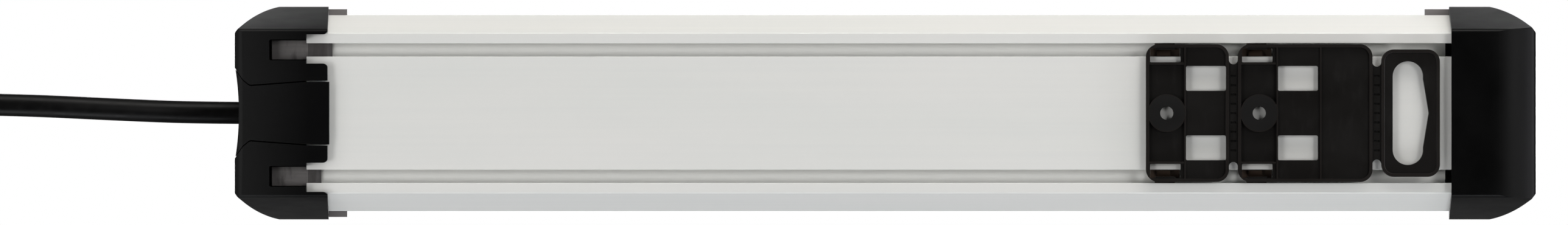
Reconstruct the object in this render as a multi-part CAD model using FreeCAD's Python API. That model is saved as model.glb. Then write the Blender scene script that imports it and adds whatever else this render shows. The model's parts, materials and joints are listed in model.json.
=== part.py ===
"""Desk power strip: aluminium profile, end caps, sockets, switch, mains cord and clip-on brackets.

Millimetres. +X runs along the strip, away from the cord. +Z points up, the way the sockets face.
The origin is the centre of the strip's footprint, on the surface that it stands on.
"""

import FreeCAD
import Part
import math
import os

V = FreeCAD.Vector

# ---- driving dimensions -------------------------------------------------------------------------
STRIP_LENGTH = 420.0
STRIP_HEIGHT = 44.0
CAP_BACK_WIDTH = 54.0
CAP_FRONT_WIDTH = 70.4
CAP_WALL = 2.2
PROFILE_BACK_Z = 2.6
PROFILE_FRONT_Z = 42.0
PROFILE_BACK_WIDTH = 51.8
PROFILE_FRONT_WIDTH = 64.2
PROFILE_WALL = 1.6
PROFILE_HALF_LENGTH = 186.8
GROOVE_Y = 20.4
GROOVE_MOUTH = 4.3
GROOVE_LIP = 1.5
GROOVE_UNDERCUT = 6.9
GROOVE_UNDERCUT_HEIGHT = 2.6
SOCKET_COUNT = 6
SOCKET_PITCH = 47.0
LAST_SOCKET_X = 151.0
SOCKET_TURN = 45.0
WELL_RADIUS = 19.7
WELL_DEPTH = 17.5
PIN_OFFSET = 9.5
SWITCH_X = -140.0
CORD_DIAMETER = 7.2
CORD_EXIT_Z = 20.0
COIL_MEAN_RADIUS = 40.5
COIL_TURNS = 6.5
COIL_LIFT = 0.8
BRACKET_OUTER_Z = 0.3
BRACKET_INNER_Z = 2.35
SCREW_HOLE_RADIUS = 2.15
CELL_DEPTH = 1.15
BRACKET_HALF_WIDTH = 22.2
PLAIN_END_SLOPE = (8.0, 5.0, 24.0)
CABLE_END_SLOPE = (2.0, 2.0, 3.0)
END_ROUNDING = 3.0
PLAN_ROUNDING = 17.5
VISOR_HALF_WIDTH = 34.0
FINGER_ROUNDING = 1.6
FINGER_TIP_X = -179.4
CABLE_MOUTH_X = -179.88
WINDOW_EDGES = (16.0, 25.4)
COVER_TOP_Z = 32.0
CLAMP_X = -197.0
CLAMP_SCREW_Y = 6.6

# ---- derived places -----------------------------------------------------------------------------
HALF_LENGTH = STRIP_LENGTH / 2
LIP_TOP = PROFILE_BACK_Z + GROOVE_LIP
UNDERCUT_TOP = LIP_TOP + GROOVE_UNDERCUT_HEIGHT
CHANNEL_TOP = UNDERCUT_TOP + 1.4
PROFILE_FLOOR = PROFILE_BACK_Z + PROFILE_WALL
LOW_PORT = (GROOVE_Y, CHANNEL_TOP + 2.4)
HIGH_PORT = (26.0, 30.0)
PORT_BORE = 1.6
WELL_FLOOR = STRIP_HEIGHT - WELL_DEPTH
CUP_BOTTOM = WELL_FLOOR - 2.0
SOCKET_XS = [LAST_SOCKET_X - SOCKET_PITCH * (SOCKET_COUNT - 1 - i) for i in range(SOCKET_COUNT)]
CARRIER_TOP = 18.9
RAIL_START_X = -106.5
RAIL_Y = PIN_OFFSET * math.sin(math.radians(SOCKET_TURN))
CORD_RADIUS = CORD_DIAMETER / 2
COIL_X, COIL_Y = -359.0, 24.0
COIL_OUTER_PATH = COIL_MEAN_RADIUS + CORD_DIAMETER * COIL_TURNS / 4
COIL_INNER_PATH = COIL_MEAN_RADIUS - CORD_DIAMETER * COIL_TURNS / 4
COIL_TOP = COIL_LIFT + 2 * CORD_DIAMETER
PLUG_START, PLUG_Y, PLUG_Z = -275.0, 57.0, 18.6

NODES = {}


# ---- geometry helpers ---------------------------------------------------------------------------
def box(x0, x1, y0, y1, z0, z1):
    return Part.makeBox(x1 - x0, y1 - y0, z1 - z0, V(x0, y0, z0))


def rod(radius, start, end):
    direction = V(*end).sub(V(*start))
    return Part.makeCylinder(radius, direction.Length, V(*start), direction)


def taper(radius0, radius1, start, end):
    direction = V(*end).sub(V(*start))
    return Part.makeCone(radius0, radius1, direction.Length, V(*start), direction)


def outline(axis, corners):
    """Closed face square to an axis, from corners (u, v) or, with a rounding radius, (u, v, r)."""
    lift = {"x": lambda u, v: V(0, u, v), "y": lambda u, v: V(u, 0, v), "z": lambda u, v: V(u, v, 0)}[axis]
    points = [lift(c[0], c[1]) for c in corners]
    radii = [c[2] if len(c) > 2 else 0.0 for c in corners]
    spans = []
    for i, here in enumerate(points):
        back = points[i - 1].sub(here).normalize()
        ahead = points[(i + 1) % len(points)].sub(here).normalize()
        if radii[i] == 0.0:
            spans.append((here, here, here))
            continue
        half = back.getAngle(ahead) / 2
        reach = radii[i] / math.tan(half)
        inward = back.add(ahead).normalize()
        middle = here.add(inward.multiply(radii[i] / math.sin(half) - radii[i]))
        spans.append((here.add(back.multiply(reach)), middle, here.add(ahead.multiply(reach))))
    edges = []
    for i, (start, middle, end) in enumerate(spans):
        if start.distanceToPoint(end) > 1e-6:
            edges.append(Part.Arc(start, middle, end).toShape())
        following = spans[(i + 1) % len(spans)][0]
        if end.distanceToPoint(following) > 1e-6:
            edges.append(Part.LineSegment(end, following).toShape())
    return Part.Face(Part.Wire(edges))


def prism(axis, corners, low, high):
    along = {"x": V(1, 0, 0), "y": V(0, 1, 0), "z": V(0, 0, 1)}[axis]
    face = outline(axis, corners)
    face.translate(along * low)
    return face.extrude(along * (high - low))


def rectangle(u0, u1, v0, v1, radius=0.0):
    return [(u0, v0, radius), (u1, v0, radius), (u1, v1, radius), (u0, v1, radius)]


def join(shapes):
    whole = shapes[0] if len(shapes) == 1 else shapes[0].fuse(shapes[1:])
    return whole.removeSplitter()


def carve(shape, tools):
    return shape.cut(Part.makeCompound(tools)).removeSplitter()


def mirrored(shape):
    """The same shape on the other side of the strip's long middle plane."""
    return shape.mirror(V(0, 0, 0), V(0, 1, 0))


def both_sides(shape):
    return [shape, mirrored(shape)]


def placed(shape, x, turn=SOCKET_TURN):
    """A copy of a shape drawn about the Z axis, turned and moved to a socket's centre."""
    copy = shape.copy()
    copy.rotate(V(0, 0, 0), V(0, 0, 1), turn)
    copy.translate(V(x, 0, 0))
    return copy


def node(name, *shapes):
    NODES[name] = shapes[0] if len(shapes) == 1 else Part.makeCompound(list(shapes))


def bent_path(points):
    """Straight runs joined by tangent arcs, each as large as its two runs allow, and their radii."""
    p = [V(*q) for q in points]
    edges, radii, last = [], [], p[0]
    for a, b, c in zip(p, p[1:], p[2:]):
        back, ahead = a.sub(b), c.sub(b)
        shorter = min(back.Length, ahead.Length)
        back.normalize()
        ahead.normalize()
        half = back.getAngle(ahead) / 2
        reach = 0.45 * shorter
        radius = reach * math.tan(half)
        start, end = b.add(back * reach), b.add(ahead * reach)
        middle = b.add(back.add(ahead).normalize() * (radius / math.sin(half) - radius))
        edges += [Part.LineSegment(last, start).toShape(), Part.Arc(start, middle, end).toShape()]
        radii.append(round(radius, 1))
        last = end
    edges.append(Part.LineSegment(last, p[-1]).toShape())
    return Part.Wire(edges), radii


def tube(points, diameter):
    path, radii = bent_path(points)
    start = V(*points[0])
    ring = Part.Wire(Part.makeCircle(diameter / 2, start, V(*points[1]).sub(start)))
    solid = path.makePipeShell([ring], True, False)
    return solid, path.Length, radii


# ---- extrusion ----------------------------------------------------------------------------------
def trapezoid(half_back, half_front, back_z, front_z, back_round=0.0, front_round=0.0):
    return [
        (-half_back, back_z, back_round),
        (half_back, back_z, back_round),
        (half_front, front_z, front_round),
        (-half_front, front_z, front_round),
    ]


def profile_half_width(z):
    share = (z - PROFILE_BACK_Z) / (PROFILE_FRONT_Z - PROFILE_BACK_Z)
    return (PROFILE_BACK_WIDTH + (PROFILE_FRONT_WIDTH - PROFILE_BACK_WIDTH) * share) / 2


def housing_profile():
    ends = (-PROFILE_HALF_LENGTH, PROFILE_HALF_LENGTH)
    outer = trapezoid(PROFILE_BACK_WIDTH / 2, PROFILE_FRONT_WIDTH / 2, PROFILE_BACK_Z, PROFILE_FRONT_Z, 0.45, 0.4)
    wall_step = PROFILE_WALL * 1.012
    hollow = trapezoid(
        profile_half_width(PROFILE_FLOOR) - wall_step,
        profile_half_width(PROFILE_FRONT_Z + 1) - wall_step,
        PROFILE_FLOOR,
        PROFILE_FRONT_Z + 1,
    )
    shell = prism("x", outer, *ends).cut(prism("x", hollow, *ends))
    channel_half = GROOVE_UNDERCUT / 2 + 1.3
    channel = box(*ends, GROOVE_Y - channel_half, GROOVE_Y + channel_half, PROFILE_BACK_Z + 0.8, CHANNEL_TOP)
    ledge = box(*ends, 28.0, profile_half_width(38.0) - 0.8, 37.4, 38.7)
    lip = box(*ends, 28.6, profile_half_width(41.4) - 0.8, 40.8, PROFILE_FRONT_Z)
    added = [channel, ledge, lip]
    for y, z in (LOW_PORT, HIGH_PORT):
        added.append(rod(3.0, (ends[0], y, z), (ends[1], y, z)))
    body = join([shell] + [side for shape in added for side in both_sides(shape)])
    mouth = box(*ends, GROOVE_Y - GROOVE_MOUTH / 2, GROOVE_Y + GROOVE_MOUTH / 2, 0, LIP_TOP + 0.5)
    undercut = box(*ends, GROOVE_Y - GROOVE_UNDERCUT / 2, GROOVE_Y + GROOVE_UNDERCUT / 2, LIP_TOP, UNDERCUT_TOP)
    removed = [mouth, undercut]
    for y, z in (LOW_PORT, HIGH_PORT):
        removed.append(rod(PORT_BORE, (ends[0], y, z), (ends[1], y, z)))
    low_y, low_z = LOW_PORT
    high_y, high_z = HIGH_PORT
    removed.append(box(*ends, low_y - 0.6, low_y + 0.6, low_z, low_z + 4))
    removed.append(box(*ends, high_y - 4, high_y, high_z - 0.6, high_z + 0.6))
    node("housing_profile", carve(body, [side for shape in removed for side in both_sides(shape)]))


# ---- end caps -----------------------------------------------------------------------------------
def cap_half_width(z):
    return (CAP_BACK_WIDTH + (CAP_FRONT_WIDTH - CAP_BACK_WIDTH) * z / STRIP_HEIGHT) / 2


def cap_block(inset, mouth_back_x, mouth_front_x, low_z, high_z, end_slope):
    """The cap's outer form, or with an inset its hollow: plan, cross-section and side view together."""
    end = HALF_LENGTH - inset
    slope_run, slope_rise, slope_round = end_slope
    plan_round = PLAN_ROUNDING - inset
    flank = CAP_FRONT_WIDTH / 2 - inset
    start = min(mouth_back_x, mouth_front_x) - 5
    plan = [
        (start, -flank),
        (202.3 - inset * 0.4, -flank, plan_round),
        (end, -25.8 + inset * 0.4, 1.5),
        (end, 25.8 - inset * 0.4, 1.5),
        (202.3 - inset * 0.4, flank, plan_round),
        (start, flank),
    ]
    section = trapezoid(cap_half_width(low_z) - inset, cap_half_width(high_z) - inset, low_z, high_z, 1.5, 2.0)
    side = [
        (mouth_back_x, low_z),
        (end - slope_run, low_z, slope_round),
        (end, low_z + slope_rise, END_ROUNDING),
        (end, high_z, END_ROUNDING),
        (mouth_front_x, high_z),
    ]
    solid = prism("z", plan, low_z, high_z)
    solid = solid.common(prism("x", section, start, end))
    return solid.common(prism("y", side, -40, 40))


def cap_shell(mouth_back_x, mouth_front_x, visor_x, visor_right, end_slope):
    """Hollow cap for the +X end, with the pocket that takes the profile's end and a visor over its front."""
    outer = cap_block(0.0, mouth_back_x, mouth_front_x, 0.0, STRIP_HEIGHT, end_slope)
    visor = box(visor_x, 190, -VISOR_HALF_WIDTH, visor_right, PROFILE_FRONT_Z + 0.15, STRIP_HEIGHT)
    hollow = cap_block(CAP_WALL, 150, 150, PROFILE_BACK_Z - 0.15, STRIP_HEIGHT - 2.0, end_slope)
    pocket_outline = trapezoid(
        PROFILE_BACK_WIDTH / 2 + 0.15,
        PROFILE_FRONT_WIDTH / 2 + 0.15,
        PROFILE_BACK_Z - 0.15,
        PROFILE_FRONT_Z + 0.15,
    )
    pocket = prism("x", pocket_outline, 150, PROFILE_HALF_LENGTH + 0.3)
    return carve(join([outer, visor]), [hollow, pocket])


def screw_bosses():
    y, z = LOW_PORT
    start = PROFILE_HALF_LENGTH + 0.3
    boss = rod(4.6, (start, y, z), (HALF_LENGTH - 2.0, y, z))
    bore = rod(2.1, (start - 1, y, z), (HALF_LENGTH + 1, y, z))
    counterbore = rod(3.8, (HALF_LENGTH - 6, y, z), (HALF_LENGTH + 1, y, z))
    return both_sides(boss), both_sides(bore) + both_sides(counterbore)


def cap_screws():
    """Pan-head screws, driven from the end face into the profile's lower screw ports."""
    y, z = LOW_PORT
    head = rod(3.5, (HALF_LENGTH - 6, y, z), (HALF_LENGTH - 3.6, y, z))
    shank = rod(1.56, (168, y, z), (HALF_LENGTH - 6, y, z))
    cross = [box(203, 208, y - 0.45, y + 0.45, z - 2.2, z + 2.2), box(203, 208, y - 2.2, y + 2.2, z - 0.45, z + 0.45)]
    recess = [cut.common(box(HALF_LENGTH - 5.2, 208, -40, 40, 0, 40)) for cut in cross]
    return both_sides(carve(join([head, shank]), recess))


def to_cable_end(shape):
    return shape.mirror(V(0, 0, 0), V(1, 0, 0))


def plain_end_cap():
    bosses, bores = screw_bosses()
    root_x = PROFILE_HALF_LENGTH + 0.3
    tongue = box(180.6, 207, GROOVE_Y - 3.2, GROOVE_Y + 3.2, LIP_TOP + 0.1, UNDERCUT_TOP - 0.3)
    root = box(root_x, 203, GROOVE_Y - 3.2, GROOVE_Y + 3.2, PROFILE_BACK_Z - 0.5, LOW_PORT[1])
    shell = cap_shell(182.2, 184.7, 176.7, 31.5, PLAIN_END_SLOPE)
    body = join([shell] + bosses + both_sides(tongue) + both_sides(root))
    node("plain_end_cap", carve(body, bores))
    node("plain_end_cap_screws", *cap_screws())


def seam_plan(gap):
    """Plan of the parting line round the cable cover: a fishtail at the end face, then nearly straight."""
    half = [
        (-219.0, 24.0 - gap),
        (-209.7, 14.4 - gap),
        (-207.2, 10.9 - gap, 3.0),
        (-205.0, 9.1 - gap, 1.6),
        (-186.8, 10.45 - gap),
        (-170.0, 10.6 - gap),
    ]
    other = [(c[0], -c[1]) + c[2:] for c in reversed(half)]
    return half + other


def cord_saddle():
    """Block over the cord's end that the clamp bar is screwed to, with its two pilot holes."""
    saddle = box(-202, -192, -9.5, 9.5, CORD_EXIT_Z + 1.1, STRIP_HEIGHT - 1.5)
    bores = [rod(CORD_RADIUS + 0.02, (-204, 0, CORD_EXIT_Z), (-190, 0, CORD_EXIT_Z))]
    bores += [rod(1.25, (CLAMP_X, y, 15), (CLAMP_X, y, 35)) for y in (-CLAMP_SCREW_Y, CLAMP_SCREW_Y)]
    return carve(saddle, bores)


def key_window():
    """Plan of the notch round a groove key; the fingers on both sides of it have rounded tips."""
    inner, outer = WINDOW_EDGES
    return [
        (-PROFILE_HALF_LENGTH, inner),
        (CABLE_MOUTH_X, inner, FINGER_ROUNDING),
        (CABLE_MOUTH_X, inner - 3),
        (-170, inner - 3),
        (-170, outer + 3),
        (CABLE_MOUTH_X, outer + 3),
        (CABLE_MOUTH_X, outer, FINGER_ROUNDING),
        (-PROFILE_HALF_LENGTH, outer),
    ]


def cable_end_cap():
    bosses, bores = screw_bosses()
    shell = to_cable_end(cap_shell(179.9, 181.8, 175.7, VISOR_HALF_WIDTH, CABLE_END_SLOPE))
    start = -PROFILE_HALF_LENGTH - 0.3
    key_seat = box(-200.0, start, GROOVE_Y - 4.6, GROOVE_Y + 4.6, PROFILE_BACK_Z - 0.5, LOW_PORT[1])
    body = join([shell] + [to_cable_end(b) for b in bosses] + both_sides(key_seat))
    window = prism("z", key_window(), -1, PROFILE_BACK_Z - 0.05)
    key_slot = prism("z", rectangle(-198.8, -180, GROOVE_Y - 3.35, GROOVE_Y + 3.35, 0.6), -1, UNDERCUT_TOP - 0.1)
    removed = [to_cable_end(bore) for bore in bores] + both_sides(window) + both_sides(key_slot)
    removed.append(prism("z", seam_plan(0.0), -1, COVER_TOP_Z + 0.3))
    node("cable_end_cap", join([carve(body, removed), cord_saddle()]))
    node("cable_end_cap_screws", *[to_cable_end(screw) for screw in cap_screws()])


def cable_cover():
    """Removable cover over the cord clamp: back plate with a tongue, end wall with the cord hole."""
    gap = 0.4
    outer = to_cable_end(cap_block(0.0, 160, 160, 0.0, STRIP_HEIGHT, CABLE_END_SLOPE))
    block = outer.common(prism("z", seam_plan(gap), 0, COVER_TOP_Z))
    inner_plan = [(-206.0, -8.0, 1.0), (-170, -9.3), (-170, 9.3), (-206.0, 8.0, 1.0)]
    room = prism("z", inner_plan, PROFILE_BACK_Z - 0.15, COVER_TOP_Z + 1)
    skirt_limit = box(-206.0, -160, -12, 12, 9.0, COVER_TOP_Z + 1)
    over_profile = box(-PROFILE_HALF_LENGTH - 0.3, -160, -12, 12, PROFILE_BACK_Z - 0.15, COVER_TOP_Z + 1)
    beyond_tip = box(FINGER_TIP_X, -150, -12, 12, -1, COVER_TOP_Z + 1)
    scoop = rod(87.0, (-208.5 - 87.0, 0, -1), (-208.5 - 87.0, 0, COVER_TOP_Z + 1))
    hole = rod(CORD_RADIUS + 0.15, (-215, 0, CORD_EXIT_Z), (-200, 0, CORD_EXIT_Z))
    node("cable_cover", carve(block, [room, skirt_limit, over_profile, beyond_tip, scoop, hole]))


def cord_clamp():
    bar = prism("x", rectangle(-9.0, 9.0, 14.5, 18.9, 0.8), CLAMP_X - 4, CLAMP_X + 4)
    holes = [rod(CORD_RADIUS + 0.02, (-204, 0, CORD_EXIT_Z), (-190, 0, CORD_EXIT_Z))]
    screws = []
    for y in (-CLAMP_SCREW_Y, CLAMP_SCREW_Y):
        holes.append(rod(1.6, (CLAMP_X, y, 10), (CLAMP_X, y, 25)))
        head = rod(2.7, (CLAMP_X, y, 12.3), (CLAMP_X, y, 14.5))
        shank = rod(1.22, (CLAMP_X, y, 14.5), (CLAMP_X, y, 32))
        slot = box(CLAMP_X - 3, CLAMP_X + 3, y - 0.4, y + 0.4, 12, 13.2)
        screws.append(carve(join([head, shank]), [slot]))
    node("cord_clamp_bar", carve(bar, holes))
    node("cord_clamp_screws", *screws)


def groove_keys():
    """Locking bars that reach from the cable end cap into the two T-grooves."""
    for name, side, end_x in (("groove_key_long", -1, -178.6), ("groove_key_short", 1, -182.2)):
        low, high = LIP_TOP + 0.2, UNDERCUT_TOP - 0.2
        shape = [(-198.2, low, 0.3), (end_x - 1.5, low), (end_x, low + 1.6), (end_x, high), (-198.2, high)]
        y = side * GROOVE_Y
        node(name, prism("y", shape, y - 3.15, y + 3.15))


# ---- sockets ------------------------------------------------------------------------------------
def socket_cover():
    deck = box(-175.4, 176.4, -28.4, 28.4, 42.0, STRIP_HEIGHT)
    skirts = both_sides(box(-175.4, 176.4, 26.6, 28.4, 38.9, 42.5))
    flanges = both_sides(box(-PROFILE_HALF_LENGTH, PROFILE_HALF_LENGTH, 26.6, 29.7, 38.9, 40.6))
    ends = [box(-175.4, -173.4, -28, 28, 38.9, 42.5), box(174.4, 176.4, -28, 28, 38.9, 42.5)]
    cups = [rod(WELL_RADIUS + 2, (x, 0, CUP_BOTTOM), (x, 0, 43)) for x in SOCKET_XS]
    pivots = []
    for x in SOCKET_XS:
        pivots.append(rod(2.0, (x, 0, 20.5), (x, 0, CUP_BOTTOM + 0.5)))
        pivots.append(taper(2.0, 2.5, (x, 0, 20.5), (x, 0, 20.95)))
    body = join([deck] + skirts + flanges + ends + cups + pivots)
    removed = []
    for x in SOCKET_XS:
        removed.append(rod(WELL_RADIUS, (x, 0, WELL_FLOOR), (x, 0, STRIP_HEIGHT + 1)))
        removed.append(taper(WELL_RADIUS, WELL_RADIUS + 1.6, (x, 0, STRIP_HEIGHT - 0.8), (x, 0, STRIP_HEIGHT + 0.8)))
        for side in (-1, 1):
            removed.append(placed(rod(2.75, (side * PIN_OFFSET, 0, 20), (side * PIN_OFFSET, 0, 30)), x))
            slot = box(-3.1, 3.1, min(side * 17.8, side * 19.6), max(side * 17.8, side * 19.6), 20, 30)
            removed.append(placed(slot, x))
    removed.append(box(SWITCH_X - 11.15, SWITCH_X + 11.15, -15.15, 15.15, 30, 50))
    body = carve(body, removed)
    ribs = []
    for x in SOCKET_XS:
        for side in (-1, 1):
            rib = box(min(side * 18.2, side * 20.5), max(side * 18.2, side * 20.5), -2.4, 2.4, WELL_FLOOR - 0.5, 41.5)
            ribs.append(placed(rib, x))
    node("socket_cover", join([body] + ribs))


def contact_carrier():
    body = box(-106, 172, -14.5, 14.5, PROFILE_FLOOR + 0.1, CARRIER_TOP)
    slots = both_sides(box(-110, 168, RAIL_Y - 4.0, RAIL_Y + 4.0, 6.4, CARRIER_TOP + 1))
    posts = []
    middles = [x + SOCKET_PITCH / 2 for x in SOCKET_XS[:-1]]
    for x in middles:
        posts += both_sides(box(x - 2.4, x + 2.4, 11.0, 13.4, CARRIER_TOP - 1, 42.0))
    node("contact_carrier", join([carve(body, slots)] + posts))


def pole_rail(name, side):
    """One pole's rail: a brass strip with a slit contact tube under each pin hole."""
    parts = [box(RAIL_START_X, 164, 9.2, 10.0, 6.6, 14.0)]
    bores = []
    for x in SOCKET_XS:
        offset = side * RAIL_Y
        parts.append(rod(3.0, (x + offset, RAIL_Y, 8.0), (x + offset, RAIL_Y, 16.5)))
        bores.append(rod(2.35, (x + offset, RAIL_Y, 7.0), (x + offset, RAIL_Y, 17.0)))
        bores.append(box(x + offset - 0.4, x + offset + 0.4, RAIL_Y - 3.5, RAIL_Y, 7.5, 17))
    rail = carve(join(parts), bores)
    node(name, rail if side > 0 else mirrored(rail))


def earth_rail():
    """Flat rail along the middle, with an arm to each side clip of every socket."""
    parts = [box(-110, 164, -2.5, 2.5, CARRIER_TOP, CARRIER_TOP + 0.8)]
    arm = box(-2.8, 2.8, -18.9, 18.9, CARRIER_TOP, CARRIER_TOP + 0.8)
    clip = prism("x", [(18.2, CARRIER_TOP), (18.9, CARRIER_TOP), (18.9, 31), (17.6, 36), (19.0, 41.5),
                       (18.3, 41.5), (16.9, 36), (18.2, 31)], -2.8, 2.8)
    for x in SOCKET_XS:
        parts += [placed(arm, x), placed(clip, x), placed(clip, x, SOCKET_TURN + 180)]
    node("earth_rail", join(parts))


def pin_shutters():
    """Child-safety shutters: a hub on the cover's pivot, with a sloped wing under each pin hole."""
    wing = prism("x", [(-3.4, 24.2), (3.4, 24.2), (3.4, 23.2), (-3.4, 21.3)], 3.0, 12.8)
    hub = rod(4.2, (0, 0, 21.3), (0, 0, 24.2))
    bore = rod(2.05, (0, 0, 20), (0, 0, 26))
    second = wing.copy()
    second.rotate(V(0, 0, 0), V(0, 0, 1), 180)
    whole = carve(join([wing, second, hub]), [bore])
    for number, x in enumerate(SOCKET_XS, 1):
        node(f"pin_shutter_{number}", placed(whole, x))


# ---- switch -------------------------------------------------------------------------------------
PIVOT_Z = 41.5
ROCKER_TILT = 10.0


def rocker_switch():
    x = SWITCH_X
    case = box(x - 11, x + 11, -15, 15, 22, STRIP_HEIGHT + 0.5)
    bezel = prism("z", rectangle(x - 12.4, x + 12.4, -16.4, 16.4, 1.0), STRIP_HEIGHT, STRIP_HEIGHT + 1.4)
    cavity = box(x - 9.2, x + 9.2, -13.9, 13.9, PIVOT_Z - 6.6, 50)
    removed = [cavity, rod(1.56, (x - 10.6, 0, PIVOT_Z), (x + 10.6, 0, PIVOT_Z))]
    terminals = []
    for y in (-7.0, 7.0):
        removed.append(box(x - 9.0, x + 9.0, y - 4, y + 4, 24.5, 36))
        for offset in (-6.0, 6.0):
            terminals.append(box(x + offset - 2.4, x + offset + 2.4, y - 0.4, y + 0.4, 13.5, 26.5))
    removed += terminals
    node("switch_case", carve(join([case, bezel]), removed))
    node("switch_terminals", *terminals)
    node("switch_bridges", *[box(x - 8.0, x + 8.0, y - 2.0, y + 2.0, 26.5, 27.3) for y in (-7.0, 7.0)])
    shape = [(-12.4, -4.0, 1.0), (12.4, -4.0, 1.0), (12.4, 4.9, 0.8), (0, 2.9, 6.0), (-12.4, 4.9, 0.8)]
    rocker = prism("x", shape, x - 8.9, x + 8.9)
    rocker = join([rocker, rod(1.5, (x - 10.4, 0, 0), (x + 10.4, 0, 0))])
    rocker.rotate(V(0, 0, 0), V(1, 0, 0), ROCKER_TILT)
    rocker.translate(V(0, 0, PIVOT_Z))
    node("rocker", rocker)


# ---- inner wiring -------------------------------------------------------------------------------
def wiring():
    x = SWITCH_X
    sleeves = []
    for y in (-7.0, 7.0):
        for offset in (-6.0, 6.0):
            middle = x + offset
            sleeve = box(middle - 3.2, middle + 3.2, y - 1.3, y + 1.3, 11.0, 20.5)
            spade = box(middle - 2.4, middle + 2.4, y - 0.4, y + 0.4, 13.5, 22)
            sleeves.append(carve(sleeve, [spade]))
    node("spade_connectors", *sleeves)
    ring_y, ring_z = HIGH_PORT
    face_x = -PROFILE_HALF_LENGTH
    ring = rod(3.4, (face_x - 0.8, ring_y, ring_z), (face_x, ring_y, ring_z))
    tab = box(face_x - 0.8, face_x, ring_y - 6.5, ring_y, ring_z - 1.8, ring_z + 1.8)
    crimp = box(face_x - 2.2, face_x + 0.0, ring_y - 10.0, ring_y - 6.5, ring_z - 1.8, ring_z + 1.8)
    bore = rod(1.7, (face_x - 2, ring_y, ring_z), (face_x + 1, ring_y, ring_z))
    node("earth_ring_terminal", carve(join([ring, tab, crimp]), [bore]))
    head = rod(3.0, (face_x - 2.9, ring_y, ring_z), (face_x - 0.8, ring_y, ring_z))
    shank = rod(1.55, (face_x - 0.8, ring_y, ring_z), (face_x + 9, ring_y, ring_z))
    slot = box(face_x - 4, face_x - 2.0, ring_y - 0.4, ring_y + 0.4, ring_z - 4, ring_z + 4)
    node("earth_bond_screw", carve(join([head, shank]), [slot]))

    feed = [(-189.8, 1.75, 21), (-180, 3, 20.6), (-166, 6, 12.6), (-152, 7, 8), (-146.4, 7, 7.4), (-146, 7, 11)]
    link = [(-134, 7, 11), (-133.4, 7, 7.4), (-128, 7.2, 7.6), (-117, 9, 9), (RAIL_START_X, 9.4, 9.2)]
    earth_in = [(-189.5, 0, 18), (-185.6, 1.0, 18), (-182, 8.0, 19), (-184.3, 14, 24), (-188.0, 15, 27.6),
                (-187.9, 16.0, 30.0)]
    earth_out = [(-185.4, 16.2, 30), (-180, 15.6, 29.6), (-168, 8, 20), (-154, 0.5, 12), (-134, 0, 11),
                 (-118, 0, 16), (-110, 0, 19.3)]
    core = 2.5
    node("live_feed_wire", tube(feed, core)[0])
    node("neutral_feed_wire", tube([(a, -b, c) for a, b, c in feed], core)[0])
    node("live_link_wire", tube(link, core)[0])
    node("neutral_link_wire", tube([(a, -b, c) for a, b, c in link], core)[0])
    node("earth_feed_wire", tube(earth_in, core)[0])
    node("earth_link_wire", tube(earth_out, core)[0])


# ---- clip-on brackets ---------------------------------------------------------------------------
def framed_plate(x0, x1, half_width, corner, panel=0.6):
    """Rounded plate with a raised rim on its outer face."""
    z0, z1 = BRACKET_OUTER_Z, BRACKET_INNER_Z
    rim = 1.0
    plate = prism("z", rectangle(x0, x1, -half_width, half_width, corner), z0, z1)
    inner = rectangle(x0 + rim, x1 - rim, -half_width + rim, half_width - rim, corner - rim)
    return plate.cut(prism("z", inner, z0 - 1, z0 + panel))


def wall_bracket(name, x0, x1, boss_x, ridges):
    z0, z1 = BRACKET_OUTER_Z, BRACKET_INNER_Z
    ridge_end = BRACKET_HALF_WIDTH - 0.45
    cell = box(x0 + 1.0, ridges[0] - 0.25, -15.7, 15.7, -1, z0 + CELL_DEPTH)
    body = framed_plate(x0, x1, BRACKET_HALF_WIDTH, 4.0).cut(cell)
    window_x0, window_x1 = x0 + 12.9, x0 + 25.8
    added = [rod(6.1, (boss_x, 0, z0), (boss_x, 0, z1))]
    for ridge in ridges:
        added.append(box(ridge - 0.25, ridge + 0.25, -ridge_end, ridge_end, z0 + 0.1, z1))
    added += both_sides(box(x0 + 0.5, x0 + 12.2, 15.7, 16.3, z0 + 0.1, z1))
    body = join([body] + added)
    removed = both_sides(prism("z", rectangle(window_x0, window_x1, 7.2, 15.2, 0.5), -1, z1 + 1))
    removed += both_sides(prism("z", rectangle(x0 + 1.3, x0 + 11.2, 16.4, 20.9, 0.3), -1, z1 + 1))
    removed.append(rod(SCREW_HOLE_RADIUS, (boss_x, 0, -1), (boss_x, 0, z1 + 1)))
    body = carve(body, removed)
    hook_outline = [(20.5, z0 + 0.4), (21.7, z0 + 0.4), (21.7, LIP_TOP + 0.3), (23.4, LIP_TOP + 0.3),
                    (23.4, LIP_TOP + 0.8), (22.6, UNDERCUT_TOP - 0.3), (20.5, UNDERCUT_TOP - 0.3)]
    hook = prism("x", hook_outline, x0 + 3.0, x0 + 9.4)
    foot = box(x0 + 1.5, x0 + 11.0, 17.4, 21.0, LIP_TOP + 0.4, UNDERCUT_TOP - 0.3)
    detent_outline = [(18.5, 3.0), (20.6, LIP_TOP + 0.4), (20.6, LIP_TOP + 0.6), (18.5, LIP_TOP + 0.6)]
    detent = prism("x", detent_outline, x0 + 3.6, x0 + 7.9)
    node(name, join([body] + [side for shape in (hook, foot, detent) for side in both_sides(shape)]))


def break_off_webs():
    webs = []
    for x0, x1, end in ((110.5, 113.43, 17.2), (156.77, 159.65, 16.4)):
        middle = (x0 + x1) / 2
        web = box(x0, x1, -end, end, BRACKET_OUTER_Z + 0.5, BRACKET_INNER_Z - 0.4)
        notches = both_sides(rod((x1 - x0) / 2 - 0.02, (middle, end, -1), (middle, end, 5)))
        slots = [box(middle - 0.9, middle + 0.9, y - 0.3, y + 0.3, -1, BRACKET_OUTER_Z + 0.9)
                 for y in (-12, -9, -6, -3, 0, 3, 6, 9, 12)]
        webs.append(carve(web, notches + slots))
    node("break_off_webs", *webs)


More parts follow.
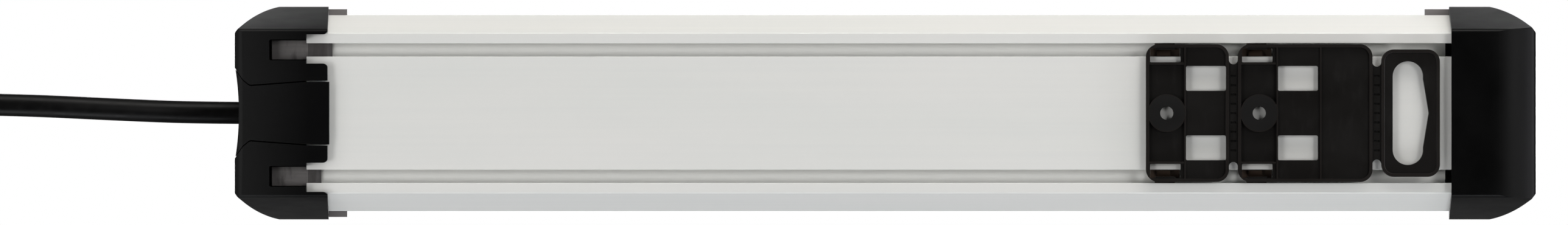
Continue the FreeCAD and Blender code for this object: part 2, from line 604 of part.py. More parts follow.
def hang_tag():
    body = framed_plate(159.65, 178.5, 20.55, 4.0, 0.25)
    left, shoulder, apex = 163.3, 173.1, 174.9
    end, reach = 16.7, 11.8
    radius = 4.85
    slot = [(left, -end, radius), (shoulder, -end, radius), (shoulder, -reach * 0.93), (apex, 0, 1.0),
            (shoulder, reach * 0.93), (shoulder, end, radius), (left, end, radius)]
    node("hang_tag", carve(body, [prism("z", slot, -1, 5)]))


# ---- mains cord ---------------------------------------------------------------------------------
LEAD_ROUTE = [
    (-190.0, 0.0, 20.0),
    (-222.0, 0.0, 20.0),
    (-250.0, -1.2, 9.6),
    (-276.0, -2.5, 3.9),
    (-302.0, -3.0, 3.9),
    (-317.4, -9.4, 4.0),
    (-329.0, -20.9, 4.4),
]
TAIL_ROUTE = [
    (-350.4, 76.2, 11.6),
    (-334.0, 70.6, 12.1),
    (-322.5, 61.8, 14.0),
    (-306.6, PLUG_Y, 17.1),
    (-291.0, PLUG_Y, PLUG_Z),
    (PLUG_START, PLUG_Y, PLUG_Z),
]


def cord():
    for name, route in (("mains_cord_lead", LEAD_ROUTE), ("mains_cord_tail", TAIL_ROUTE)):
        solid, length, radii = tube(route, CORD_DIAMETER)
        expected = math.pi * CORD_RADIUS**2 * length
        print(f"{name}: {length:.1f} mm, radii {radii}, volume/expected {solid.Volume / expected:.4f}")
        node(name, solid)
    outer = COIL_OUTER_PATH + CORD_RADIUS
    inner = COIL_INNER_PATH - CORD_RADIUS
    ring = rod(outer, (COIL_X, COIL_Y, COIL_LIFT), (COIL_X, COIL_Y, COIL_TOP))
    hole = rod(inner, (COIL_X, COIL_Y, COIL_LIFT - 1), (COIL_X, COIL_Y, COIL_TOP + 1))
    node("mains_cord_coil", ring.cut(hole))
    far, near = COIL_X - outer, COIL_X - inner
    band = box(far - 0.9, near + 1.5, COIL_Y - 5, COIL_Y + 5, 0, COIL_TOP + 0.9)
    gap = box(far - 0.1, near + 0.7, COIL_Y - 6, COIL_Y + 6, COIL_LIFT, COIL_TOP + 0.1)
    node("cord_tie", band.cut(gap))


def plug():
    """Earthed two-pin plug on the cord's far end, lying on its side, pins towards +X."""
    y, z = PLUG_Y, PLUG_Z
    start = PLUG_START
    neck = start + 32.0
    face = neck + 37.0
    sleeve = taper(5.0, 6.6, (start, y, z), (neck, y, z))
    node("plug_strain_relief", sleeve)
    body = join([
        taper(8.5, 13.0, (neck, y, z), (neck + 14, y, z)),
        taper(13.0, 18.4, (neck + 14, y, z), (neck + 20, y, z)),
        rod(18.4, (neck + 20, y, z), (face, y, z)),
    ])
    grooves = []
    for side in (-1, 1):
        grooves.append(box(neck + 19, face + 1, y + side * 18.2 - 2.6, y + side * 18.2 + 2.6, z - 2.8, z + 2.8))
        grooves.append(box(neck + 19, face + 1, y - 3.2, y + 3.2, z + side * 17.9 - 2.1, z + side * 17.9 + 2.1))
    node("plug_body", carve(body, grooves))
    pins = []
    for side in (-1, 1):
        pin = rod(2.4, (face, y + side * PIN_OFFSET, z), (face + 17.5, y + side * PIN_OFFSET, z))
        tip = taper(2.4, 1.4, (face + 17.5, y + side * PIN_OFFSET, z), (face + 19, y + side * PIN_OFFSET, z))
        pins.append(join([pin, tip]))
    node("plug_pins", *pins)
    clips = [box(neck + 20, face - 0.5, y - 3.0, y + 3.0, z + side * 16.2 - 0.4, z + side * 16.2 + 0.4)
             for side in (-1, 1)]
    node("plug_earth_clips", *clips)


# ---- build --------------------------------------------------------------------------------------
def main():
    housing_profile()
    plain_end_cap()
    cable_end_cap()
    cable_cover()
    cord_clamp()
    groove_keys()
    socket_cover()
    contact_carrier()
    pole_rail("live_rail", 1)
    pole_rail("neutral_rail", -1)
    earth_rail()
    pin_shutters()
    rocker_switch()
    wiring()
    wall_bracket("wall_bracket_short", 83.8, 110.5, 90.5, [96.4])
    wall_bracket("wall_bracket_long", 113.43, 156.77, 120.3, [126.1, 140.1])
    break_off_webs()
    hang_tag()
    cord()
    plug()
    os.makedirs("parts", exist_ok=True)
    for name, shape in NODES.items():
        shape.exportStep(f"parts/{name}.step")
        state = "valid" if shape.isValid() else "NOT VALID"
        print(f"{name}: {len(shape.Solids)} solid(s), {shape.Volume:.1f} mm3, {state}")


main()
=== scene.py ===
"""Looks of the desk power strip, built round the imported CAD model. Metres, in the CAD frame."""
import json
import math

import bmesh
import bpy
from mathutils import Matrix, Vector


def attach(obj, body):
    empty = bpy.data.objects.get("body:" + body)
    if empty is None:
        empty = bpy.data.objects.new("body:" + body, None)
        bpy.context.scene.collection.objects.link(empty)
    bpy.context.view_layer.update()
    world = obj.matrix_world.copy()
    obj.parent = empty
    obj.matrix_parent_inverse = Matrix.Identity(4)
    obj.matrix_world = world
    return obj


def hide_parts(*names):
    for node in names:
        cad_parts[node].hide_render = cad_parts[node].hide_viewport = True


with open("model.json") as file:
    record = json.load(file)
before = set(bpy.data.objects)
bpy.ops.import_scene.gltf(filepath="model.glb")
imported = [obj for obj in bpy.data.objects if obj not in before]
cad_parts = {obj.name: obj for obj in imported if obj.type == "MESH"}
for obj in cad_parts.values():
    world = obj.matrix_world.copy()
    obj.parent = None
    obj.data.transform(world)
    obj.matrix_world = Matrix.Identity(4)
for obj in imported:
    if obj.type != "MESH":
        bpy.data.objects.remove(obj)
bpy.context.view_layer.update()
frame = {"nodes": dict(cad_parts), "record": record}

MM = 0.001

# ---- the cord's measures --------------------------------------------------------------------------
CORD_DIAMETER = 7.2 * MM
CORD_RADIUS = CORD_DIAMETER / 2
COIL_X, COIL_Y = -359.0 * MM, 24.0 * MM
COIL_LOW_Z, COIL_HIGH_Z = 4.4 * MM, 11.6 * MM
COIL_OUTER_PATH = 52.2 * MM
COIL_TURNS = 6.5
POINTS_PER_TURN = 20

# ---- places on the strip that a finish or a rounding refers to, Z counted up from the back ---------
CABLE_END_X, PLAIN_END_X = -180.0 * MM, 180.0 * MM
CABLE_CAP_TIP_X, CABLE_CAP_MOUTH_X = -213.0 * MM, -186.0 * MM
SHELF_LOW_Z, SHELF_HIGH_Z = 41.5 * MM, 43.0 * MM
GROOVE_LOW_Z, GROOVE_HIGH_Z = 3.2 * MM, 7.0 * MM
GROOVE_OUTER_Y = 24.2 * MM
KEY_SHADE_START_X, KEY_END_X = -186.4 * MM, -150.0 * MM
BRACKET_FACE_Z = 0.42 * MM
CLIP_LOW_Z, CLIP_HIGH_Z = 2.7 * MM, 9.0 * MM
BOSS_PLACES = (90.5 * MM, 120.3 * MM)
BOSS_RADIUS, BOSS_EDGE = 5.9 * MM, 0.25 * MM
CAP_ROUND_X, CAP_ROUND_Y, CAP_ROUND_Z = 183.6 * MM, 23.5 * MM, 14.0 * MM

# ---- edges: how sharp a corner is rounded, and in how many steps -----------------------------------
SHARP_CORNER = math.radians(22)
FLAT_WITHIN = math.radians(0.4)
SMOOTH_WITHIN = math.radians(32)
SMALL_EDGE_STEPS, WIDE_EDGE_STEPS = 2, 4

for leftover in ("Cube", "Light", "Camera"):
    if leftover in bpy.data.objects:
        bpy.data.objects.remove(bpy.data.objects[leftover])


# ---- camera, lights, floor ------------------------------------------------------------------------
def make_camera():
    """Square on to the strip's back, from below, as the strip's underside is what is on show."""
    width_seen = 505.1 * MM
    middle_x, middle_y = -32.84 * MM, -0.2 * MM
    data = bpy.data.cameras.new("camera")
    data.lens = 200
    data.sensor_width = 36
    data.clip_start = 0.05
    data.clip_end = 60
    camera = bpy.data.objects.new("camera", data)
    distance = width_seen * data.lens / data.sensor_width
    camera.location = (middle_x, middle_y, -distance)
    camera.rotation_euler = (math.pi, 0, 0)
    bpy.context.collection.objects.link(camera)
    bpy.context.scene.camera = camera


def area_light(name, place, aim, size, power, colour=(1, 1, 1)):
    data = bpy.data.lights.new(name, "AREA")
    data.shape = "RECTANGLE"
    data.size, data.size_y = size
    data.energy = power
    data.color = colour
    light = bpy.data.objects.new(name, data)
    light.location = place
    light.rotation_euler = (Vector(aim) - Vector(place)).to_track_quat("-Z", "Y").to_euler()
    light.visible_camera = False
    bpy.context.collection.objects.link(light)


def make_lights():
    """Two long panels light the back and flanks from below; the others pick out the caps and front."""
    centre, plain_cap = (0, 0, 0.02), (0.2, 0, 0)
    warm, cool, pale_violet = (1.0, 0.985, 0.955), (0.94, 0.965, 1.0), (0.94, 0.93, 1.0)
    area_light("under_left_side", (0.25, -1.38, -0.36), centre, (2.2, 0.6), 31, warm)
    area_light("under_right_side", (0.1, 1.38, -0.36), centre, (2.2, 0.6), 22, cool)
    area_light("under_plain_end", (1.5, 0, -0.95), centre, (1.2, 1.4), 7)
    area_light("beside_plain_end", (1.3, 0, -0.16), plain_cap, (1.1, 0.22), 9, pale_violet)
    area_light("under_cable_end", (-1.5, 0, -0.95), centre, (1.2, 1.4), 11)
    area_light("below_plain_side", (1.75, -0.6, -1.9), centre, (0.7, 0.7), 14.5)
    area_light("below_cable_side", (-1.75, 0.6, -1.9), centre, (0.7, 0.7), 14.5)
    area_light("above_cable_end", (-0.7, -0.1, 1.9), centre, (1.4, 0.4), 21)
    area_light("above_plain_end", (0.79, -0.15, 1.7), centre, (1.2, 0.4), 46)


def make_floor():
    """Pale floor, clear seen from below; seen from above it turns to plain white with distance."""
    mesh = bpy.data.meshes.new("floor")
    half = 6.0
    corners = [(-half, -half, 0), (half, -half, 0), (half, half, 0), (-half, half, 0)]
    mesh.from_pydata(corners, [], [(0, 1, 2, 3)])
    floor = bpy.data.objects.new("floor", mesh)
    bpy.context.collection.objects.link(floor)
    material = bpy.data.materials.new("floor")
    material.use_nodes = True
    nodes, links = material.node_tree.nodes, material.node_tree.links
    surface = nodes["Principled BSDF"]
    surface.inputs["Base Color"].default_value = (0.86, 0.86, 0.855, 1)
    surface.inputs["Roughness"].default_value = 0.75
    surface.inputs["Specular IOR Level"].default_value = 0.2
    place = nodes.new("ShaderNodeTexCoord")
    distance = nodes.new("ShaderNodeVectorMath")
    distance.operation = "LENGTH"
    fade = nodes.new("ShaderNodeMapRange")
    fade.interpolation_type = "SMOOTHSTEP"
    fade.inputs["From Min"].default_value = 0.3
    fade.inputs["From Max"].default_value = 1.6
    fade.inputs["To Min"].default_value = 0.15
    fade.inputs["To Max"].default_value = 1.0
    white = nodes.new("ShaderNodeEmission")
    blend = nodes.new("ShaderNodeMixShader")
    clear = nodes.new("ShaderNodeBsdfTransparent")
    side = nodes.new("ShaderNodeNewGeometry")
    mix = nodes.new("ShaderNodeMixShader")
    links.new(place.outputs["Object"], distance.inputs[0])
    links.new(distance.outputs["Value"], fade.inputs["Value"])
    links.new(fade.outputs["Result"], blend.inputs["Fac"])
    links.new(surface.outputs["BSDF"], blend.inputs[1])
    links.new(white.outputs["Emission"], blend.inputs[2])
    links.new(side.outputs["Backfacing"], mix.inputs["Fac"])
    links.new(blend.outputs["Shader"], mix.inputs[1])
    links.new(clear.outputs["BSDF"], mix.inputs[2])
    links.new(mix.outputs["Shader"], nodes["Material Output"].inputs["Surface"])
    mesh.materials.append(material)
    floor.visible_shadow = False
    floor.visible_diffuse = False
    floor.visible_glossy = False


def make_world():
    """A white backdrop for the camera, and a faint light from all round that is dimmer from below."""
    world = bpy.data.worlds.new("studio")
    bpy.context.scene.world = world
    world.use_nodes = True
    nodes, links = world.node_tree.nodes, world.node_tree.links
    ambient = nodes["Background"]
    ambient.inputs["Strength"].default_value = 0.11
    backdrop = nodes.new("ShaderNodeBackground")
    backdrop.inputs["Color"].default_value = (1, 1, 1, 1)
    backdrop.inputs["Strength"].default_value = 1.0
    direction = nodes.new("ShaderNodeTexCoord")
    split = nodes.new("ShaderNodeSeparateXYZ")
    ramp = nodes.new("ShaderNodeValToRGB")
    remap = nodes.new("ShaderNodeMapRange")
    remap.inputs["From Min"].default_value = -1
    remap.inputs["From Max"].default_value = 1
    ramp.color_ramp.elements[0].position = 0.0
    ramp.color_ramp.elements[0].color = (0.10, 0.10, 0.10, 1)
    ramp.color_ramp.elements[1].position = 0.45
    ramp.color_ramp.elements[1].color = (1, 1, 1, 1)
    links.new(direction.outputs["Generated"], split.inputs[0])
    links.new(split.outputs["Z"], remap.inputs["Value"])
    links.new(remap.outputs["Result"], ramp.inputs["Fac"])
    links.new(ramp.outputs["Color"], ambient.inputs["Color"])
    ray = nodes.new("ShaderNodeLightPath")
    mix = nodes.new("ShaderNodeMixShader")
    links.new(ray.outputs["Is Camera Ray"], mix.inputs["Fac"])
    links.new(ambient.outputs["Background"], mix.inputs[1])
    links.new(backdrop.outputs["Background"], mix.inputs[2])
    links.new(mix.outputs["Shader"], nodes["World Output"].inputs["Surface"])
    bpy.context.scene.view_settings.view_transform = "Standard"
    bpy.context.scene.view_settings.look = "None"


# ---- material building blocks ---------------------------------------------------------------------
class Finish:
    """One procedural material: a Principled shader with helpers for noise, colour and bump."""

    def __init__(self, name, colour, roughness, metallic=0.0, specular=0.5):
        self.material = bpy.data.materials.new(name)
        self.material.use_nodes = True
        self.nodes = self.material.node_tree.nodes
        self.links = self.material.node_tree.links
        self.shader = self.nodes["Principled BSDF"]
        self.shader.inputs["Base Color"].default_value = (*colour, 1)
        self.shader.inputs["Roughness"].default_value = roughness
        self.shader.inputs["Metallic"].default_value = metallic
        self.shader.inputs["Specular IOR Level"].default_value = specular
        self.place = self.nodes.new("ShaderNodeTexCoord")
        self.normal = None

    def set(self, **values):
        for name, value in values.items():
            self.shader.inputs[name.replace("_", " ")].default_value = value
        return self

    def noise(self, scale, detail=3.0, rough=0.55, turn=(0, 0, 0)):
        """Noise with a scale per metre along each axis; a low number draws it out into streaks."""
        mapping = self.nodes.new("ShaderNodeMapping")
        mapping.inputs["Scale"].default_value = scale
        mapping.inputs["Rotation"].default_value = turn
        noise = self.nodes.new("ShaderNodeTexNoise")
        noise.inputs["Scale"].default_value = 1.0
        noise.inputs["Detail"].default_value = detail
        noise.inputs["Roughness"].default_value = rough
        self.links.new(self.place.outputs["Object"], mapping.inputs["Vector"])
        self.links.new(mapping.outputs["Vector"], noise.inputs["Vector"])
        return noise.outputs["Fac"]

    def band(self, axis, low, high, source="Object"):
        """One between two values of a coordinate, nothing elsewhere. Y counts from the middle."""
        split = self.nodes.new("ShaderNodeSeparateXYZ")
        self.links.new(self.place.outputs[source], split.inputs[0])
        size = self.math("ABSOLUTE", split.outputs["Y"]) if axis == "Y" else split.outputs[axis]
        above = self.math("GREATER_THAN", size, low)
        below = self.math("LESS_THAN", size, high)
        return self.math("MULTIPLY", above, below)

    def disc(self, x, radius, edge):
        """One inside an upright cylinder on the long axis, fading over the edge's width."""
        flat = self.nodes.new("ShaderNodeMapping")
        flat.inputs["Scale"].default_value = (1, 1, 0)
        distance = self.nodes.new("ShaderNodeVectorMath")
        distance.operation = "DISTANCE"
        distance.inputs[1].default_value = (x, 0, 0)
        self.links.new(self.place.outputs["Object"], flat.inputs["Vector"])
        self.links.new(flat.outputs["Vector"], distance.inputs[0])
        return self.spread(distance.outputs["Value"], 1.0, 0.0, radius - edge, radius)

    def math(self, operation, first, second=None):
        node = self.nodes.new("ShaderNodeMath")
        node.operation = operation
        for socket, value in zip(node.inputs, (first, second)):
            if isinstance(value, (int, float)):
                socket.default_value = value
            elif value is not None:
                self.links.new(value, socket)
        return node.outputs["Value"]

    def spread(self, value, low, high, start=0.3, end=0.7):
        """Low where the value is at its start, high where it is at its end."""
        remap = self.nodes.new("ShaderNodeMapRange")
        remap.inputs["From Min"].default_value = start
        remap.inputs["From Max"].default_value = end
        remap.inputs["To Min"].default_value = low
        remap.inputs["To Max"].default_value = high
        self.links.new(value, remap.inputs["Value"])
        return remap.outputs["Result"]

    def tint(self, value, other, share=1.0, start=0.3, end=0.7):
        """Blends another colour in where the value is high."""
        mix = self.nodes.new("ShaderNodeMix")
        mix.data_type = "RGBA"
        socket = self.shader.inputs["Base Color"]
        if socket.is_linked:
            self.links.new(socket.links[0].from_socket, mix.inputs["A"])
        else:
            mix.inputs["A"].default_value = socket.default_value
        mix.inputs["B"].default_value = (*other, 1)
        self.links.new(self.spread(value, 0.0, share, start, end), mix.inputs["Factor"])
        self.links.new(mix.outputs["Result"], socket)
        return self

    def vary_roughness(self, value, low, high):
        self.links.new(self.spread(value, low, high), self.shader.inputs["Roughness"])
        return self

    def bump(self, value, depth, strength=1.0):
        bump = self.nodes.new("ShaderNodeBump")
        bump.inputs["Distance"].default_value = depth
        bump.inputs["Strength"].default_value = strength
        self.links.new(value, bump.inputs["Height"])
        if self.normal:
            self.links.new(self.normal, bump.inputs["Normal"])
        self.normal = bump.outputs["Normal"]
        self.links.new(self.normal, self.shader.inputs["Normal"])
        return self


# ---- materials ------------------------------------------------------------------------------------
def anodised_aluminium():
    finish = Finish("anodised_aluminium", (0.622, 0.625, 0.603), 0.46, metallic=0.05, specular=0.03)
    streaks = finish.noise((5, 700, 700), detail=5, rough=0.6)
    cloud = finish.noise((9, 40, 40), detail=3)
    grain = finish.noise((900, 3200, 3200), detail=2)
    finish.tint(streaks, (0.60, 0.605, 0.59), 0.8)
    finish.tint(cloud, (0.68, 0.66, 0.64), 0.35)
    # Painted light: the inside of the grooves is lightened to lift the shade that falls in them.
    groove_height = finish.band("Z", GROOVE_LOW_Z, GROOVE_HIGH_Z)
    between_walls = finish.band("Y", 0.0, GROOVE_OUTER_Y)
    groove_painted_light = finish.math("MULTIPLY", groove_height, between_walls)
    finish.tint(groove_painted_light, (0.765, 0.765, 0.742), 0.9, 0.0, 1.0)
    finish.vary_roughness(streaks, 0.40, 0.50)
    finish.bump(streaks, 0.004 * MM, 0.6)
    finish.bump(grain, 0.004 * MM, 0.5)
    return finish.material


def spark_eroded_plastic(name, colour, grain_depth=0.014):
    """Moulded plastic from a fine-textured tool: a matt grain of about a third of a millimetre."""
    roughness = 0.36
    finish = Finish(name, colour, roughness, specular=0.18)
    grain = finish.noise((3300, 3300, 3300), detail=2.5, rough=0.6)
    patches = finish.noise((60, 60, 60), detail=3)
    lighter = tuple(c * 1.6 + 0.0006 for c in colour)
    finish.tint(grain, lighter, 0.5, 0.45, 0.75)
    finish.tint(patches, lighter, 0.25)
    finish.vary_roughness(patches, roughness - 0.04, roughness + 0.06)
    finish.bump(grain, grain_depth * MM, 0.8)
    return finish


def end_cap_plastic(name, colour):
    """Blackest on the back of the plain end, glossier towards the front. Painted light: lighter at the
    cable end, a painted highlight at its tip, and a grey painted highlight on the shelf behind it.
    """
    finish = spark_eroded_plastic(name, colour)
    split = finish.nodes.new("ShaderNodeSeparateXYZ")
    finish.links.new(finish.place.outputs["Object"], split.inputs[0])
    along, height = split.outputs["X"], split.outputs["Z"]
    sheen_at_back = finish.spread(along, 0.04, 0.075, CABLE_END_X, PLAIN_END_X)
    towards_front = finish.spread(height, 0.0, 0.17, 5 * MM, 38 * MM)
    sheen = finish.math("ADD", sheen_at_back, towards_front)
    finish.links.new(sheen, finish.shader.inputs["Specular IOR Level"])
    # Painted light: the back is lightened towards the cable end, though both ends are the same plastic.
    cable_end_painted_light = finish.spread(along, 1.0, 0.0, CABLE_END_X, PLAIN_END_X)
    # Painted highlight: the rounded tip of the cable end cap is lightened as if catching light.
    cable_tip_painted_highlight = finish.spread(along, 1.0, 0.0, CABLE_CAP_TIP_X, CABLE_CAP_MOUTH_X)
    finish.tint(cable_end_painted_light, (0.0027, 0.0027, 0.0028), 1.0, 0.0, 1.0)
    finish.tint(cable_tip_painted_highlight, (0.0115, 0.0115, 0.0115), 1.0, 0.0, 1.0)
    # Painted highlight: the shelf faces that turn to the back are painted grey as if lit.
    faces_back = finish.band("Z", -1.1, -0.3, "Normal")
    shelf = finish.math("MULTIPLY", finish.band("Z", SHELF_LOW_Z, SHELF_HIGH_Z), faces_back)
    finish.tint(shelf, (0.17, 0.16, 0.16), 1.0, 0.0, 1.0)
    return finish.material


def smooth_black_plastic():
    finish = Finish("bracket_plastic", (0.0042, 0.0036, 0.0032), 0.36, specular=0.26)
    scuffs = finish.noise((420, 120, 420), detail=4, turn=(0, 0, 0.5))
    flow = finish.noise((35, 70, 35), detail=2)
    finish.tint(scuffs, (0.014, 0.013, 0.0125), 0.35, 0.55, 0.8)
    finish.vary_roughness(flow, 0.32, 0.42)
    # Painted highlight: the raised outer faces are lightened against the shaded recesses between them.
    raised_face_painted_highlight = finish.band("Z", 0.0, BRACKET_FACE_Z)
    finish.tint(raised_face_painted_highlight, (0.0078, 0.0063, 0.0055), 0.9, 0.0, 1.0)
    # Painted light: the clip hooks deep in the grooves are lightened to lift the shade that falls on
    # them.
    clip_painted_light = finish.band("Z", CLIP_LOW_Z, CLIP_HIGH_Z)
    finish.tint(clip_painted_light, (0.040, 0.027, 0.020), 0.9, 0.0, 1.0)
    # Painted highlight: the boss faces are lightened further, as if lit.
    for boss_x in BOSS_PLACES:
        face = finish.math("MULTIPLY", raised_face_painted_highlight, finish.disc(boss_x, BOSS_RADIUS, BOSS_EDGE))
        finish.tint(face, (0.0060, 0.0058, 0.0057), 0.9, 0.0, 1.0)
    finish.bump(scuffs, 0.01 * MM, 0.5)
    return finish.material


def drawn_grey_plastic():
    finish = Finish("key_plastic", (0.112, 0.106, 0.104), 0.6, specular=0.35)
    lines = finish.noise((90, 1500, 1500), detail=4)
    marks = finish.noise((500, 260, 260), detail=3)
    finish.tint(lines, (0.145, 0.134, 0.130), 0.6)
    finish.tint(marks, (0.045, 0.040, 0.040), 0.5, 0.55, 0.8)
    scrape = finish.noise((220, 60, 220), detail=5, turn=(0, 0, 1.2))
    finish.tint(scrape, (0.05, 0.045, 0.044), 0.7, 0.56, 0.66)
    # Painted shade: the part of the key inside the groove is darkened for the shade that falls there.
    key_painted_shade = finish.band("X", KEY_SHADE_START_X, KEY_END_X)
    finish.tint(key_painted_shade, (0.030, 0.027, 0.026), 0.7, 0.0, 1.0)
    finish.bump(lines, 0.03 * MM, 0.8)
    return finish.material


def plain_plastic(name, colour, roughness=0.5):
    finish = Finish(name, colour, roughness, specular=0.4)
    clouds = finish.noise((160, 160, 160), detail=3)
    grain = finish.noise((2600, 2600, 2600), detail=2)
    finish.tint(clouds, tuple(min(1.0, c * 1.18 + 0.004) for c in colour), 0.6)
    finish.vary_roughness(clouds, roughness - 0.05, roughness + 0.07)
    finish.bump(grain, 0.012 * MM, 0.6)
    return finish.material


def plated_metal(name, colour, roughness=0.28):
    finish = Finish(name, colour, roughness, metallic=1.0)
    lines = finish.noise((1500, 260, 1500), detail=3)
    tarnish = finish.noise((240, 240, 240), detail=3)
    finish.tint(tarnish, tuple(c * 0.72 for c in colour), 0.5)
    finish.vary_roughness(tarnish, roughness - 0.06, roughness + 0.12)
    finish.bump(lines, 0.006 * MM, 0.5)
    return finish.material


def cord_sheath():
    finish = Finish("cord_sheath", (0.0022, 0.0021, 0.0021), 0.42, specular=0.10)
    drawn = finish.noise((60, 700, 700), detail=3)
    scuffs = finish.noise((240, 240, 240), detail=4)
    finish.tint(scuffs, (0.005, 0.0046, 0.0044), 0.5, 0.52, 0.78)
    finish.vary_roughness(scuffs, 0.36, 0.5)
    finish.bump(drawn, 0.03 * MM, 0.5)
    return finish.material


def rocker_plastic():
    finish = Finish("rocker_plastic", (0.55, 0.018, 0.012), 0.22, specular=0.5)
    finish.set(Transmission_Weight=0.25, Coat_Weight=0.4)
    clouds = finish.noise((180, 180, 180), detail=2)
    finish.tint(clouds, (0.42, 0.010, 0.008), 0.6)
    finish.bump(clouds, 0.01 * MM, 0.3)
    return finish.material


def woven_strap():
    finish = Finish("tie_fabric", (0.008, 0.008, 0.0085), 0.85, specular=0.15)
    finish.set(Sheen_Weight=0.12)
    across = finish.noise((2400, 500, 2400), detail=2)
    along = finish.noise((500, 2400, 500), detail=2)
    finish.tint(across, (0.022, 0.022, 0.023), 0.8)
    finish.bump(across, 0.12 * MM, 0.8)
    finish.bump(along, 0.12 * MM, 0.8)
    return finish.material


def make_materials():
    return {
        "anodised_aluminium": anodised_aluminium(),
        "cap_plastic": end_cap_plastic("cap_plastic", (0.0011, 0.0011, 0.0011)),
        "cover_plastic": end_cap_plastic("cover_plastic", (0.0020, 0.0020, 0.0022)),
        "key_plastic": drawn_grey_plastic(),
        "bracket_plastic": smooth_black_plastic(),
        "socket_plastic": spark_eroded_plastic("socket_plastic", (0.018, 0.0185, 0.020), 0.03).material,
        "carrier_plastic": plain_plastic("carrier_plastic", (0.55, 0.55, 0.52)),
        "shutter_plastic": plain_plastic("shutter_plastic", (0.10, 0.10, 0.098)),
        "contact_brass": plated_metal("contact_brass", (0.83, 0.60, 0.27)),
        "earth_steel": plated_metal("earth_steel", (0.66, 0.64, 0.59), 0.25),
        "screw_steel": plated_metal("screw_steel", (0.60, 0.60, 0.61), 0.3),
        "switch_plastic": plain_plastic("switch_plastic", (0.014, 0.014, 0.015), 0.34),
        "rocker_plastic": rocker_plastic(),
        "live_insulation": plain_plastic("live_insulation", (0.18, 0.065, 0.028), 0.35),
        "neutral_insulation": plain_plastic("neutral_insulation", (0.02, 0.10, 0.45), 0.35),
        "earth_insulation": plain_plastic("earth_insulation", (0.30, 0.45, 0.04), 0.35),
        "cord_sheath": cord_sheath(),
        "plug_rubber": spark_eroded_plastic("plug_rubber", (0.013, 0.013, 0.0135), 0.04).material,
        "tie_fabric": woven_strap(),
        "pin_nickel": plated_metal("pin_nickel", (0.74, 0.72, 0.67), 0.18),
    }


def dress_nodes(materials):
    """Every CAD node takes the procedural material of its slot in the record."""
    for part in frame["record"]["subparts"]:
        piece = frame["nodes"][part["node"]]
        for holder in piece.material_slots:
            holder.material = materials[part["material_slot"]]


# ---- softened edges -------------------------------------------------------------------------------
BODY_OF_NODE = {
    name: body for body, names in frame["record"]["behaviour"]["bodies"].items() for name in names
}
SLOT_OF_NODE = {part["node"]: part["material_slot"] for part in frame["record"]["subparts"]}


def planar_mesh(name):
    """The node's mesh with the triangles of each flat face joined up."""
    shape = bmesh.new()
    shape.from_mesh(frame["nodes"][name].data)
    bmesh.ops.remove_doubles(shape, verts=shape.verts, dist=1e-6)
    bmesh.ops.dissolve_limit(
        shape, angle_limit=FLAT_WITHIN, verts=shape.verts, edges=shape.edges, delimit={"NORMAL"}
    )
    return shape


def round_edges(shape, radius, steps, wanted=lambda edge: True):
    edges = [
        edge
        for edge in shape.edges
        if edge.is_manifold and edge.calc_face_angle(0) > SHARP_CORNER and wanted(edge)
    ]
    bmesh.ops.bevel(
        shape,
        geom=edges,
        offset=radius,
        offset_type="OFFSET",
        segments=steps,
        profile=0.5,
        affect="EDGES",
        clamp_overlap=True,
    )


def soften(name, radius, materials, outer_radius=None):
    """Stands in for a CAD node with the same form, its moulded or deburred edges rounded."""
    shape = planar_mesh(name)
    if outer_radius:
        round_edges(shape, outer_radius, WIDE_EDGE_STEPS, outer_cap_edge)
    round_edges(shape, radius, SMALL_EDGE_STEPS)
    mesh = bpy.data.meshes.new(f"{name}_finished")
    shape.to_mesh(mesh)
    shape.free()
    mesh.materials.append(materials[SLOT_OF_NODE[name]])
    mesh.polygons.foreach_set("use_smooth", [True] * len(mesh.polygons))
    mesh.set_sharp_from_angle(angle=SMOOTH_WITHIN)
    piece = bpy.data.objects.new(f"{name}_finished", mesh)
    bpy.context.collection.objects.link(piece)
    flatten = piece.modifiers.new("even_normals", "WEIGHTED_NORMAL")
    flatten.keep_sharp = True
    flatten.weight = 100
    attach(piece, BODY_OF_NODE.get(name, "housing"))
    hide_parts(name)


def outer_cap_edge(edge):
    """Edges where the back or the rounded end of a cap meets its flanks and chamfers."""
    middle = (edge.verts[0].co + edge.verts[1].co) / 2
    past_profile = abs(middle.x) > CAP_ROUND_X
    near_flank = abs(middle.y) > CAP_ROUND_Y
    return past_profile and near_flank and middle.z < CAP_ROUND_Z and edge.is_convex


def finish_edges(materials):
    soften("housing_profile", 0.12 * MM, materials)
    soften("plain_end_cap", 0.25 * MM, materials, outer_radius=1.0 * MM)
    soften("cable_end_cap", 0.25 * MM, materials, outer_radius=1.6 * MM)
    soften("cable_cover", 0.25 * MM, materials)
    for name in ("groove_key_long", "groove_key_short"):
        soften(name, 0.25 * MM, materials)
    for name in ("wall_bracket_short", "wall_bracket_long", "break_off_webs", "hang_tag"):
        soften(name, 0.3 * MM, materials)
    for name in ("socket_cover", "rocker", "plug_body"):
        soften(name, 0.4 * MM, materials)
    soften("cord_tie", 0.2 * MM, materials)


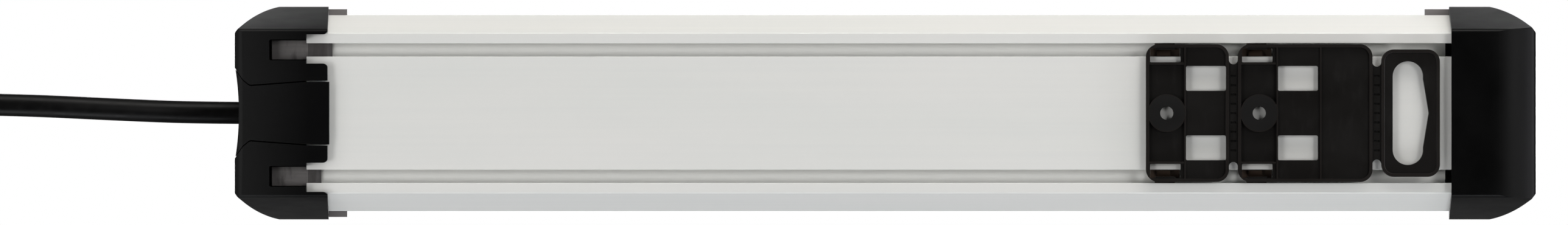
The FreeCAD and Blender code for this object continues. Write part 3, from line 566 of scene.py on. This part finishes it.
# ---- mains cord -----------------------------------------------------------------------------------
LEAD_ROUTE = [
    (-0.1900, 0.0000, 0.0200),
    (-0.2220, 0.0000, 0.0200),
    (-0.2500, -0.0012, 0.0096),
    (-0.2760, -0.0025, 0.0039),
    (-0.3020, -0.0030, 0.0039),
    (-0.3174, -0.0094, 0.0040),
    (-0.3290, -0.0209, 0.0044),
    (-0.3485, -0.0289, 0.0044),
]
TAIL_ROUTE = [
    (-0.3504, 0.0762, 0.0116),
    (-0.3340, 0.0706, 0.0121),
    (-0.3225, 0.0618, 0.0140),
    (-0.3066, 0.0570, 0.0171),
    (-0.2910, 0.0570, 0.0186),
    (-0.2750, 0.0570, 0.0186),
    (-0.2650, 0.0570, 0.0186),
]


def coil_points():
    """Two layers of turns: inwards on the surface, a climb at the inside, then outwards on top."""
    inner_turn = COIL_TURNS / 2
    outside_curve = 1 / math.cos(math.pi / POINTS_PER_TURN)
    points = []
    for step in range(int(COIL_TURNS * POINTS_PER_TURN) + 1):
        turn = step / POINTS_PER_TURN
        angle = -math.pi / 2 - math.tau * turn
        radius = COIL_OUTER_PATH - CORD_DIAMETER * (inner_turn - abs(turn - inner_turn))
        radius *= outside_curve
        climb = min(1.0, max(0.0, turn - inner_turn + 0.5))
        height = COIL_LOW_Z + (COIL_HIGH_Z - COIL_LOW_Z) * climb * climb * (3 - 2 * climb)
        points.append((COIL_X + radius * math.cos(angle), COIL_Y + radius * math.sin(angle), height))
    return points


def make_cord(materials):
    points = LEAD_ROUTE + coil_points() + TAIL_ROUTE
    data = bpy.data.curves.new("mains_cord", "CURVE")
    data.dimensions = "3D"
    data.bevel_depth = CORD_RADIUS
    data.bevel_resolution = 8
    data.resolution_u = 6
    data.use_fill_caps = True
    spline = data.splines.new("NURBS")
    spline.points.add(len(points) - 1)
    for target, point in zip(spline.points, points):
        target.co = (*point, 1)
    spline.order_u = 3
    spline.use_endpoint_u = True
    data.materials.append(materials["cord_sheath"])
    cord = bpy.data.objects.new("mains_cord", data)
    bpy.context.collection.objects.link(cord)
    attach(cord, "housing")
    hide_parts("mains_cord_lead", "mains_cord_coil", "mains_cord_tail")


# ---- build ----------------------------------------------------------------------------------------
make_camera()
make_world()
make_lights()
make_floor()
MATERIALS = make_materials()
dress_nodes(MATERIALS)
finish_edges(MATERIALS)
make_cord(MATERIALS)
